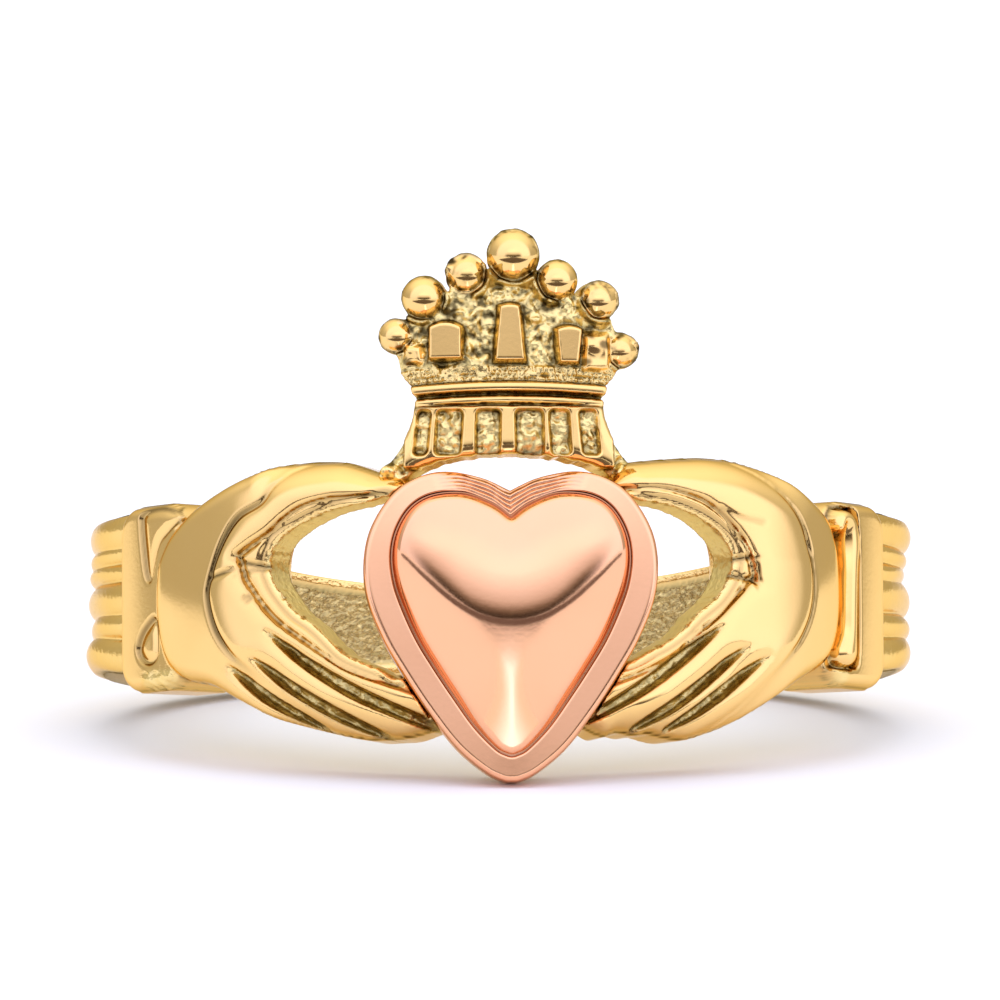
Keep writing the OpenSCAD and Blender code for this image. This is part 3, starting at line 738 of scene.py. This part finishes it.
def relief_piece(name, sheet, form, mirror=False):
    """The closed mesh of one patch of the casting."""
    step = sheet.step
    cast = form["cast"].copy()
    height = grown(form["height"], sheet, 0.3)
    smooth = sheet.blur(height.astype(np.float32), 0.07)
    height = height + cast * form["pebbles"] * 0.045
    # Painted shade where the relief sinks below its blurred self, less on cast, and along the drawn shade
    # lines.
    hollow_shade = np.maximum(ramp(smooth - height, 0.015, 0.070) * (1 - 0.45 * cast), form["shade_lines"])
    ws = np.arange(form["floor"].min() - 3 * step, height.max() + 0.25, step)
    gu, gv = np.gradient(height, step)
    slope = 1 / np.sqrt(1 + np.minimum(gu ** 2 + gv ** 2, 9))
    field = (ws[None, None, :] - height[:, :, None]) * slope[:, :, None]
    field = soft_max(field, np.minimum(form["plan"], 1.0)[:, :, None], 0.08)
    field = np.maximum(field, form["floor"][:, :, None] - ws[None, None, :]).astype(np.float32)
    for u, v, w, r in form["balls"]:
        i = slice(*np.searchsorted(sheet.us, [u - r - 0.2, u + r + 0.2]))
        j = slice(*np.searchsorted(sheet.vs, [v - r - 0.2, v + r + 0.2]))
        ball = np.sqrt((sheet.us[i, None, None] - u) ** 2 + (sheet.vs[None, j, None] - v) ** 2
                       + (ws[None, None, :] - w) ** 2) - r
        field[i, j] = soft_min(field[i, j], ball.astype(np.float32), 0.05)
        near = np.hypot(sheet.u[i, j] - u, sheet.v[i, j] - v)
        cast[i, j] = np.minimum(cast[i, j], ramp(near, r * 0.9, r))
    if name != "heart_seat":
        clear_heart(field, sheet, ws)

    # The solid ends inside the grid.
    for axis in range(3):
        edge = [slice(None)] * 3
        for end in (0, -1):
            edge[axis] = end
            field[tuple(edge)] = 1
    without_pinches(field, step)
    origin = np.array([sheet.us[0], sheet.vs[0], ws[0]])
    verts, quads = surface(field, origin, step)
    grad = np.stack(np.gradient(field, step), axis=-1).astype(np.float32)

    # Vertices move onto the surface, each within its own cell, so that no two of them meet.
    cell = origin + np.floor((verts - origin) / step) * step
    for _ in range(2):
        g = sample(grad, verts, origin, step)
        d = sample(field, verts, origin, step)
        move = np.clip(d / np.maximum((g ** 2).sum(1), 0.05), -0.4 * step, 0.4 * step)
        verts = np.clip(verts - g * move[:, None], cell + 0.04 * step, cell + 0.96 * step)
    n = sample(grad, verts, origin, step)
    n /= np.linalg.norm(n, axis=1)[:, None] + 1e-9

    # Finish and painted shade lines are read off the plan, the shade lines only where it faces out and not
    # on balls.
    flat = np.column_stack([verts[:, :2], np.full(len(verts), ws[0])])

    def over(plane):
        return sample(np.repeat(plane[:, :, None], 2, 2), flat, origin, step)
    inner = ramp(verts[:, 2] - over(form["floor"]), 0.10, 0.03)
    finish = over(cast) * (1 - inner) + 0.5 * inner
    painted_dark = over(hollow_shade.astype(np.float32)) * ramp(n[:, 2], -0.1, 0.4) * ramp(
        verts[:, 2] - over(height.astype(np.float32)), 0.25, 0.12)

    # U, V and W make a right-handed set turned outward, so only a mirrored patch changes its winding.
    if mirror:
        verts[:, 0] *= -1
        n[:, 0] *= -1
        quads = quads[:, ::-1]
    a = verts[:, 0] / FACE_R
    ring = around(a, FINGER_R + verts[:, 2], verts[:, 1])
    normals = turn(np.column_stack([n[:, 0] * np.cos(a) + n[:, 2] * np.sin(a),
                                    n[:, 0] * np.sin(a) - n[:, 2] * np.cos(a), n[:, 1]]))
    return mesh_object(name, to_row(ring), quads.tolist(), finish, painted_dark, normals)


def hand_piece(side):
    """One hand with its cuff."""
    sheet = Sheet(0.35, HANDS[side]["cuff_end"] + 0.85, -4.4, 3.3, HAND_STEP, 3 if side == "left" else 5)
    return relief_piece(side + "_hand", sheet, hand_form(sheet, side), mirror=side == "left")


def crown_piece():
    """The crown with its balls."""
    sheet = Sheet(-3.5, 3.5, 1.7, 8.5, CROWN_STEP, 11)
    return relief_piece("crown", sheet, crown_form(sheet))


def seat_piece():
    """The seat behind the heart."""
    sheet = Sheet(-3.6, 3.6, -5.2, 2.7, SEAT_STEP, 13)
    return relief_piece("heart_seat", sheet, seat_form(sheet))


# The shank

RIDGES = [
    # Place and half width as shares of the band's half width, and rise.
    (0.79, 0.25, 0.44), (0.49, 0.15, 0.36), (0.27, 0.15, 0.36), (-0.05, 0.26, 0.45), (-0.41, 0.20, 0.40),
    (-0.77, 0.27, 0.46)]

# Arc where the shank starts, share of its columns outside, how far its lower edge is tucked up at the
# sides, and depth of the scooped inside.
SHANK_START = 10.95
OUTER_SHARE = 0.66
TUCK = 0.26
SCOOP = 0.09


def shank_piece():
    """A band with ridges that run together toward the back, and a scooped inside; painted shade in the
    valleys between the ridges and, mottled at random, over the inside.
    """
    rows, columns = ((560, 140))
    start = SHANK_START / FACE_R
    angle = np.linspace(start, 2 * math.pi - start, rows)
    back = -np.cos(angle) * OUTER_R
    half = soft_min(np.full(rows, SHANK_W / 2), BACK_W / 2 + math.tan(LEAN) * (OUTER_R - back), 0.3)
    side = np.minimum(angle, 2 * math.pi - angle)
    tuck = TUCK * ramp(side, 1.1, 1.5) * (1 - ramp(side, 2.2, 2.9))
    half = half - tuck / 2
    rng = np.random.default_rng(17)
    outer = int(columns * OUTER_SHARE)
    t = np.linspace(-1, 1, outer)
    points = []
    cast = []
    for i in range(rows):
        v = t * half[i]
        w = np.full(outer, BAND_T - 0.04)
        for k, (place, wide, rise) in enumerate(RIDGES):
            drift = 0.025 * math.sin(angle[i] * 6 + 2.1 * k)
            swell = 1 + 0.12 * math.sin(angle[i] * 9 + 1.7 * k)
            w = np.maximum(w, BAND_T + rise * swell * arch((t - place - drift) / wide))
        edge = np.abs(t) > 0.97
        w[edge] = BAND_T - 0.1 + (w[edge] - BAND_T + 0.1) * 0.5
        # The valleys between the ridges: rough cast, and painted with shade.
        hollow_shade = 1 - ramp(w, BAND_T + 0.06, BAND_T + 0.26)
        v = v + tuck[i] / 2
        inner_v = np.linspace(half[i], -half[i], columns - outer + 2)[1:-1] * 0.985
        inside = inner_v + tuck[i] / 2
        scoop = SCOOP * ramp(half[i] - np.abs(inner_v), 0.28, 0.42) * ramp(abs(angle[i] - math.pi), 1.5, 1.1)
        points.append(np.column_stack([np.full(columns, angle[i]), np.concatenate([v, inside]),
                                       np.concatenate([w, scoop])]))
        cast.append(np.concatenate([hollow_shade, ramp(half[i] - np.abs(inner_v), 0.25, 0.42)]))
    p = np.array(points)
    cast = np.array(cast)
    p[:, :, 2] += cast * rng.standard_normal(cast.shape) * 0.012
    p[:, outer:, 2] = np.maximum(p[:, outer:, 2], 0)
    flat = p.reshape(-1, 3)
    verts = around(flat[:, 0], FINGER_R + flat[:, 2], flat[:, 1])
    quads = []
    for i in range(rows - 1):
        for j in range(columns):
            k = (j + 1) % columns
            quads.append((i * columns + j, (i + 1) * columns + j, (i + 1) * columns + k, i * columns + k))
    quads = np.array(quads)
    ends = [list(range(columns)), list(range((rows - 1) * columns, rows * columns))[::-1]]
    # Painted shade: in the valleys, and mottled over the middle of the inside, which lies in shade.
    painted_dark = cast.copy()
    painted_dark[:, outer:] *= 0.50 + 0.14 * rng.standard_normal((rows, columns - outer))
    finish = np.maximum(cast * 0.8, 0.3)
    return mesh_object("shank", to_row(verts), quads.tolist() + ends, finish, painted_dark * 0.9)


# The heart's front

# The dome: width of its rounded edge, rise, reach and fall of its brow, its summit and the oval around it.
DOME_EDGE = 0.20
BROW_RISE = 0.0975
BROW_REACH = 0.65
BROW_FALL = 0.034
SUMMIT = np.array([0, 0.55])
SUMMIT_OVAL = (1.6, 1.9)

# The border: height of its upright foot, and stripes across it where it is filed.
BORDER_FOOT = 0.25
FILED_STRIPES = 5.5


def dome_heights(points):
    """Puffed dome over the dome edge: its two lower flanks fall away from a smile-shaped brow."""
    sheet = Sheet(-3.3, 3.3, -3.6, 3.8, 0.03, 1)
    inside = -sheet.shape(heart_loop(6)[:, 2:], 3)
    above = sheet.v - BROW_SAG * np.minimum(np.abs(sheet.u), 2.6) ** 2
    up = np.maximum(above, 0)
    brow = BROW_RISE * (1 - np.exp(-up / BROW_REACH)) - BROW_FALL * up ** 2
    brow = brow - FLANK_SLOPE * np.maximum(-above, 0)
    rim = rounded(inside, DOME_EDGE)
    swell = 1 - (1 - np.clip(inside / 1.5, 0, 1)) ** 2
    field = DOME_T * (0.78 * rim + 0.20 * swell) + brow - 0.02 * sheet.u ** 2
    field = soft_max(field, 0.12 * rim, 0.08)
    field = sheet.blur(field.astype(np.float32), 0.05) * ramp(inside, 0, 0.10)

    # Smooth reading between the grid's points.
    g = (points - [sheet.us[0], sheet.vs[0]]) / sheet.step
    g = np.clip(g, 1, np.array(field.shape) - 3)
    i = np.floor(g).astype(int)
    f = g - i
    weights = []
    for t in (f[:, 0], f[:, 1]):
        weights.append([(-t + 2 * t ** 2 - t ** 3) / 2, (2 - 5 * t ** 2 + 3 * t ** 3) / 2,
                        (t + 4 * t ** 2 - 3 * t ** 3) / 2, (-t ** 2 + t ** 3) / 2])
    return sum(weights[0][a] * weights[1][b] * field[i[:, 0] + a - 1, i[:, 1] + b - 1]
               for a in range(4) for b in range(4))


def heart_piece():
    """The rose gold heart: a bevelled border, filed around the cleft, and a puffed dome, with painted shade
    in the groove around the dome, in the filed stripes' hollows and at the dome's foot.
    """
    loop = heart_loop(16)
    n = len(loop)
    border = 30
    dome = 80
    filed = ramp(loop[:, 1], 2.70, 3.15) * ramp(1.9 - np.abs(loop[:, 0]), 0, 0.9)
    rings = [np.column_stack([loop[:, :2], np.full(n, height)]) for height in (0, BORDER_FOOT)]
    painted_dark = [np.zeros(n), np.zeros(n)]
    turn_at = np.arange(n) * 2 * math.pi / n
    wobble = 0.8 * np.sin(turn_at * 13) + 0.6 * np.sin(turn_at * 29 + 1)
    for k in range(border):
        t = k / (border - 1)
        low = 0.975 - 0.40 * filed
        rise = BORDER_T * (low + (1 - low) * t)
        rise = rise - 0.14 * (1 - rounded(np.full(n, t), 0.20)) * BORDER_T
        stripe = np.sin(t * FILED_STRIPES * 2 * math.pi + wobble) * (t < 0.9)
        rise = rise + filed * 0.022 * stripe
        # Painted shade in the groove where the border meets the dome and in the hollows of the filed
        # stripes.
        line = bell(t - 1, 0.05)
        rise = rise - 0.05 * line
        rings.append(np.column_stack([loop[:, :2] * (1 - t) + loop[:, 2:] * t, rise]))
        painted_dark.append(0.75 * line + filed * ramp(-stripe, 0.35, 0.85) * 0.8)

    # The dome's rings turn from the heart's outline into an oval around its summit.
    way = np.unwrap(np.arctan2(loop[:, 3] - SUMMIT[1], loop[:, 2]))
    oval = np.column_stack([np.cos(way), np.sin(way)]) * SUMMIT_OVAL
    for k in range(1, dome):
        t = k / dome
        keep = 1 - t
        mix = ramp(t, 0.1, 1.0)
        plan = SUMMIT + keep * ((1 - mix) * (loop[:, 2:] - SUMMIT) + mix * oval)
        rings.append(np.column_stack([plan, BORDER_T - 0.05 * math.exp(-k) + dome_heights(plan)]))
        # Painted shade at the foot of the dome, fading over its first rings.
        painted_dark.append(np.full(n, 0.6 * math.exp(-k)))
    count = len(rings)
    summit = np.column_stack([SUMMIT[None], BORDER_T + dome_heights(SUMMIT[None])])
    points = np.vstack(rings + [[[0, 0, 0]], summit])
    j = np.arange(n)
    k = (j + 1) % n
    faces = []
    for i in range(count - 1):
        faces.append(np.column_stack([i * n + j, i * n + k, (i + 1) * n + k, (i + 1) * n + j]))
    quads = np.vstack(faces).tolist()
    caps = [[count * n, b, a] for a, b in zip(j, k)]
    caps += [[count * n + 1, (count - 1) * n + a, (count - 1) * n + b] for a, b in zip(j, k)]
    ring = np.column_stack([points[:, 0], -(FACE_R + HEART_GAP + points[:, 2]), points[:, 1] - HEART_DROP])
    painted_dark = np.append(np.concatenate(painted_dark), [0, 0])
    return mesh_object("heart_front", to_row(ring), [f[::-1] for f in quads + caps], painted_dark * 0, painted_dark)


# Materials

YELLOW = (0.95, 0.63, 0.245, 1)
YELLOW_WORN = (0.91, 0.585, 0.21, 1)
YELLOW_CAST = (0.90, 0.70, 0.29, 1)
# Near-black painted shade for the creases and hollows.
YELLOW_PAINTED_SHADE = (0.045, 0.028, 0.008, 1)
YELLOW_EDGE = (0.90, 0.72, 0.42, 1)
ROSE = (0.96, 0.52, 0.30, 1)
ROSE_WORN = (0.93, 0.48, 0.265, 1)
ROSE_CAST = (0.80, 0.42, 0.27, 1)
# Dark painted shade for the heart's grooves and hollows.
ROSE_PAINTED_SHADE = (0.16, 0.05, 0.025, 1)
ROSE_EDGE = (0.92, 0.68, 0.52, 1)
ROUGH_POLISHED = 0.07
ROUGH_WORN = 0.15
ROUGH_CAST = 0.30


def with_inputs(made, values):
    """Sets a node's inputs by name, with _ for a space."""
    for key, value in values.items():
        made.inputs[key.replace("_", " ")].default_value = value
    return made


def node(tree, kind, **values):
    """A new node with its inputs set."""
    return with_inputs(tree.nodes.new(kind), values)


def new_material(name, **values):
    """A new material and its shader, with the shader's inputs set."""
    material = bpy.data.materials.new(name)
    material.use_nodes = True
    return material, with_inputs(material.node_tree.nodes["Principled BSDF"], values)


def mixed(tree, a, b, share, colour=True):
    """Mixes two sockets or constants by a third socket."""
    made = tree.nodes.new("ShaderNodeMix")
    made.data_type = "RGBA" if colour else "FLOAT"
    ends = [s for s in made.inputs if s.enabled and s.name in ("A", "B")]
    for end, value in zip(ends, (a, b)):
        if isinstance(value, bpy.types.NodeSocket):
            tree.links.new(value, end)
        else:
            end.default_value = value
    tree.links.new(share, made.inputs["Factor"])
    return next(s for s in made.outputs if s.enabled)


def metal(name, polished, worn, cast, hollow_shade, edge):
    """Polished gold with faint cloudiness, pebbled where left as cast, with painted shade in its creases."""
    material, shader = new_material(name, Metallic=1, Specular_Tint=edge)
    tree = material.node_tree
    link = tree.links.new
    place = tree.nodes.new("ShaderNodeTexCoord").outputs["Object"]
    clouds = node(tree, "ShaderNodeTexNoise", Scale=600.0, Detail=3.0)
    grain = node(tree, "ShaderNodeTexNoise", Scale=9000.0, Detail=2.0)
    pits = node(tree, "ShaderNodeTexNoise", Scale=7000.0, Detail=3.0)
    for noise in (clouds, grain, pits):
        link(place, noise.inputs["Vector"])
    masks = {}
    for label in ("cast", "hollow_shade"):
        mask = tree.nodes.new("ShaderNodeAttribute")
        mask.attribute_name = label
        masks[label] = mask.outputs["Fac"]
    colour = mixed(tree, polished, worn, clouds.outputs["Fac"])
    colour = mixed(tree, colour, cast, masks["cast"])
    # Painted shade: the gold turns near black in its creases and hollows.
    colour = mixed(tree, colour, hollow_shade, masks["hollow_shade"])
    link(colour, shader.inputs["Base Color"])
    rough = mixed(tree, ROUGH_POLISHED, ROUGH_WORN, clouds.outputs["Fac"], colour=False)
    rough = mixed(tree, rough, ROUGH_CAST, masks["cast"], colour=False)
    link(rough, shader.inputs["Roughness"])
    fine = node(tree, "ShaderNodeBump", Strength=0.025, Distance=0.00002)
    link(grain.outputs["Fac"], fine.inputs["Height"])
    lift = mixed(tree, 0.0, pits.outputs["Fac"], masks["cast"], colour=False)
    rugged = node(tree, "ShaderNodeBump", Strength=0.7, Distance=0.00007)
    link(lift, rugged.inputs["Height"])
    link(fine.outputs["Normal"], rugged.inputs["Normal"])
    link(rugged.outputs["Normal"], shader.inputs["Normal"])
    return material


# Studio

def floor_piece():
    """A sheet of white paper under the ring."""
    bpy.ops.mesh.primitive_plane_add(size=3.0, location=(0, 0, 0))
    floor = bpy.context.object
    floor.name = "floor"
    material, _ = new_material("floor_paper", Base_Color=(0.93, 0.94, 0.96, 1), Roughness=0.9,
                               Specular_IOR_Level=0.1)
    floor.data.materials.append(material)


# Brightness of the tent by height, from 0 at the horizon to 1 overhead.
TENT_SIDES = [(0.00, 0.55), (0.20, 0.60), (0.45, 0.80), (0.75, 1.25), (1.00, 1.50)]
TENT_PANELS = [(0.00, 1.10), (0.30, 1.30), (0.70, 1.45), (1.00, 1.50)]
TENT_RIGHT = [(0.00, 1.38), (0.30, 1.50), (0.70, 1.50), (1.00, 1.50)]
TENT_FRONT = [(0.00, 0.03), (0.05, 0.05), (0.11, 0.25), (0.18, 0.78), (0.26, 1.04), (0.38, 1.55),
              (1.00, 1.80)]
SIDE_TINT = (1.0, 1.0, 0.97)
PANEL_TINT = (1.0, 1.03, 1.30)
FRONT_TINT = (1.0, 1.04, 1.26)
FRONT_SHADE = (1.0, 0.82, 0.62)


def tent_ramp(tree, height, stops, tint, shade=None):
    """A ramp over height that goes from the shade where it is dark to the tint where it is bright.
    The ramp holds half of each brightness."""
    shade = shade or tint
    made = tree.nodes.new("ShaderNodeValToRGB")
    points = made.color_ramp.elements
    while len(points) < len(stops):
        points.new(0.5)
    for point, (at, level) in zip(points, stops):
        point.position = at
        lit = min(level, 1)
        point.color = [level * (dim + (full - dim) * lit) / 2 for dim, full in zip(shade, tint)] + [1]
    tree.links.new(height, made.inputs["Fac"])
    return made.outputs["Color"]


def share_of(tree, value, start, end, step="SMOOTHSTEP"):
    """A smooth step of a socket, from 0 at the start to 1 at the end."""
    made = node(tree, "ShaderNodeMapRange", From_Min=start, From_Max=end)
    made.interpolation_type = step
    tree.links.new(value, made.inputs["Value"])
    return made.outputs["Result"]


def world_light():
    """A white tent that is dark near the horizon where the camera looks in."""
    world = bpy.data.worlds.new("tent")
    bpy.context.scene.world = world
    world.use_nodes = True
    tree = world.node_tree
    link = tree.links.new
    axes = tree.nodes.new("ShaderNodeSeparateXYZ")
    link(tree.nodes.new("ShaderNodeTexCoord").outputs["Generated"], axes.inputs["Vector"])
    across, along, height = (axes.outputs[name] for name in "XYZ")
    panels = mixed(tree, tent_ramp(tree, height, TENT_PANELS, PANEL_TINT),
                   tent_ramp(tree, height, TENT_RIGHT, PANEL_TINT), share_of(tree, across, -0.2, 0.3))
    sides = mixed(tree, tent_ramp(tree, height, TENT_SIDES, SIDE_TINT), panels,
                  share_of(tree, along, -0.02, -0.30))
    opening = tent_ramp(tree, height, TENT_FRONT, FRONT_TINT, FRONT_SHADE)
    tent = mixed(tree, sides, opening, share_of(tree, along, -0.72, -0.92))
    back = tree.nodes["Background"]
    link(tent, back.inputs["Color"])
    back.inputs["Strength"].default_value = 2.0


def card(name, half, near, far, middle, edge):
    """A card low in front of the ring that shows in its reflections alone: its glow along the middle
    and at the sides."""
    bpy.ops.mesh.primitive_plane_add(size=1.0, location=(0, -(near + far) / 2, 0.0003))
    made = bpy.context.object
    made.name = name
    made.scale = (2 * half, far - near, 1)
    made.visible_camera = False
    made.visible_diffuse = False
    made.visible_shadow = False
    material, shader = new_material(name, Base_Color=(0.02, 0.02, 0.02, 1), Roughness=0.8,
                                    Emission_Strength=1.0)
    tree = material.node_tree
    axes = tree.nodes.new("ShaderNodeSeparateXYZ")
    across = tree.nodes.new("ShaderNodeMath")
    across.operation = "ABSOLUTE"
    tree.links.new(tree.nodes.new("ShaderNodeTexCoord").outputs["Object"], axes.inputs["Vector"])
    tree.links.new(axes.outputs["X"], across.inputs[0])
    fall = share_of(tree, across.outputs["Value"], 0, 0.45, "SMOOTHERSTEP")
    tree.links.new(mixed(tree, middle, edge, fall), shader.inputs["Emission Color"])
    made.data.materials.append(material)


def camera():
    """The photograph's view: 6.5 degrees above the floor, from a little to the left."""
    azimuth, elevation = math.radians(-1.5), math.radians(6.5)
    aim, distance = Vector((0, 0, 0.0032)), 0.3

    # Pixels to the metre at the ring, the picture's side and how far the ring sits below its middle.
    scale, shown, lowered = 40700.0, 1000, 102.5

    def toward(angle):
        flat = math.cos(angle)
        return Vector((math.sin(azimuth) * flat, -math.cos(azimuth) * flat, math.sin(angle)))
    out, up = toward(elevation), toward(elevation + math.pi / 2)
    data = bpy.data.cameras.new("camera")
    data.lens = data.sensor_width * scale * distance / shown
    data.clip_start = 0.02
    obj = bpy.data.objects.new("camera", data)
    obj.location = aim + out * distance
    target = aim + up * (lowered / scale)
    obj.rotation_euler = (target - obj.location).to_track_quat("-Z", "Y").to_euler()
    bpy.context.scene.collection.objects.link(obj)
    bpy.context.scene.camera = obj


yellow = metal("yellow_gold", YELLOW, YELLOW_WORN, YELLOW_CAST, YELLOW_PAINTED_SHADE, YELLOW_EDGE)
rose = metal("rose_gold", ROSE, ROSE_WORN, ROSE_CAST, ROSE_PAINTED_SHADE, ROSE_EDGE)

for piece in (hand_piece("left"), hand_piece("right"), crown_piece(), seat_piece(), shank_piece()):
    piece.data.materials.append(yellow)
    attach(piece, "root")
    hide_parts("ring_body")
heart = heart_piece()
heart.data.materials.append(rose)
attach(heart, "root")
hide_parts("heart")

floor_piece()
world_light()
card("dark_card", 0.060, 0.030, 0.600, (0.05, 0.022, 0.010, 1), (0.05, 0.022, 0.010, 1))
card("white_card", 0.0021, 0.0125, 0.0255, (1.8, 2.2, 3.0, 1), (1.1, 1.1, 1.15, 1))
camera()
view = bpy.context.scene.view_settings
view.view_transform = "Standard"
